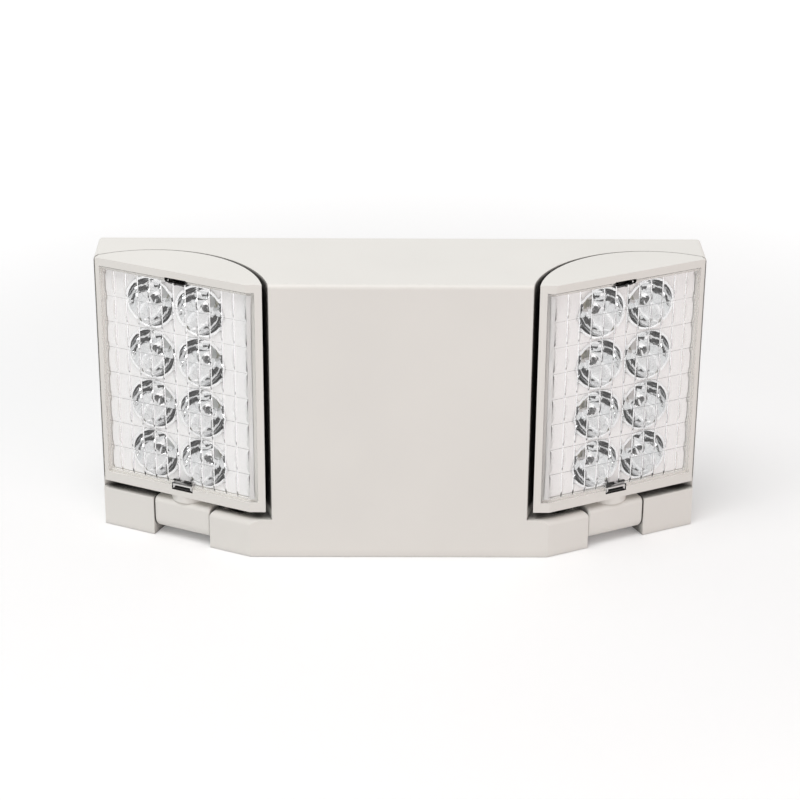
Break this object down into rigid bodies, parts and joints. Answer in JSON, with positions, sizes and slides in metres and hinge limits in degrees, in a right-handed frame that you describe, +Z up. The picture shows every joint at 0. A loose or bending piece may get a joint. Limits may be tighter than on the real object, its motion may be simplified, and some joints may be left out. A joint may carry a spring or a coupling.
{
  "type": "emergency exit light",
  "caption": "Low-profile wall-mounted emergency light: an off-white moulded housing with lamp heads folded into curved recesses, each on a tilting knuckle behind a fluted clear lens.",
  "frame": {"origin": "on the wall plane, in the middle of the mounting holes, which is also the middle of the cable entry", "axes": "+X along the wall to the right seen from the front, +Y into the wall, +Z up"},
  "size_m": [0.28, 0.059, 0.136],
  "materials": {
    "housing": "warm off-white moulded plastic with a fine satin texture",
    "back_plate": "off-white moulded plastic",
    "clear_lens": "clear polished plastic",
    "white_plate": "white moulded plastic",
    "bright_cups": "bright metallised plastic, mirror smooth",
    "white_board": "white solder mask",
    "emitter_yellow": "yellow phosphor over a white package",
    "green_board": "green solder mask",
    "core_steel": "laminated steel",
    "coil_tape": "yellow winding tape",
    "capacitor_sleeve": "dark shrink sleeve",
    "terminal_plastic": "green moulded plastic",
    "battery_wrap": "blue shrink wrap",
    "zinc_strap": "zinc-plated sheet",
    "zinc_screws": "zinc-plated",
    "switch_plastic": "black moulded plastic",
    "lamp_plastic": "red tinted clear plastic",
    "button_plastic": "red moulded plastic",
    "bush_plastic": "natural acetal"
  },
  "bodies": {
    "housing": {"front_cover": "housing", "back_plate": "back_plate", "charger_board": "green_board", "charger_screws": "zinc_screws", "transformer_core": "core_steel", "transformer_coil": "coil_tape", "capacitor": "capacitor_sleeve", "terminal_block": "terminal_plastic", "battery_pack": "battery_wrap", "battery_strap": "zinc_strap", "strap_screws": "zinc_screws", "test_switch": "switch_plastic", "charge_lamp": "lamp_plastic"},
    "test_button": {"test_button": "button_plastic"},
    "left_knuckle": {"left_knuckle": "housing", "left_knuckle_lid": "housing", "left_pivot_screw": "zinc_screws", "left_pivot_washer": "zinc_strap", "left_pivot_bush": "bush_plastic", "left_swivel_stem": "bush_plastic", "left_swivel_washer": "zinc_strap", "left_stem_nut": "zinc_screws"},
    "left_head": {"left_head_shell": "housing", "left_lens": "clear_lens", "left_reflector_plate": "white_plate", "left_reflector_cups": "bright_cups", "left_light_board": "white_board", "left_emitters": "emitter_yellow", "left_board_screws": "zinc_screws"},
    "right_knuckle": {"right_knuckle": "housing", "right_knuckle_lid": "housing", "right_pivot_screw": "zinc_screws", "right_pivot_washer": "zinc_strap", "right_pivot_bush": "bush_plastic", "right_swivel_stem": "bush_plastic", "right_swivel_washer": "zinc_strap", "right_stem_nut": "zinc_screws"},
    "right_head": {"right_head_shell": "housing", "right_lens": "clear_lens", "right_reflector_plate": "white_plate", "right_reflector_cups": "bright_cups", "right_light_board": "white_board", "right_emitters": "emitter_yellow", "right_board_screws": "zinc_screws"}
  },
  "joints": [
    {"name": "left_tilt", "type": "hinge", "parent": "housing", "child": "left_knuckle", "pos_m": [-0.09846, -0.03552, -0.05635], "axis": [0.9014, -0.4329, 0], "range_deg": [0, 90]},
    {"name": "left_swivel", "type": "hinge", "parent": "left_knuckle", "child": "left_head", "pos_m": [-0.09846, -0.03552, -0.05635], "axis": [0, 0, 1], "range_deg": [0, 4]},
    {"name": "right_tilt", "type": "hinge", "parent": "housing", "child": "right_knuckle", "pos_m": [0.09846, -0.03552, -0.05635], "axis": [0.9014, 0.4329, 0], "range_deg": [0, 90]},
    {"name": "right_swivel", "type": "hinge", "parent": "right_knuckle", "child": "right_head", "pos_m": [0.09846, -0.03552, -0.05635], "axis": [0, 0, -1], "range_deg": [0, 4]},
    {"name": "button_press", "type": "slide", "parent": "housing", "child": "test_button", "axis": [0, 0, 1], "range_m": [0, 0.0012], "stiffness_N_per_m": 400, "springref_m": -0.001}
  ]
}
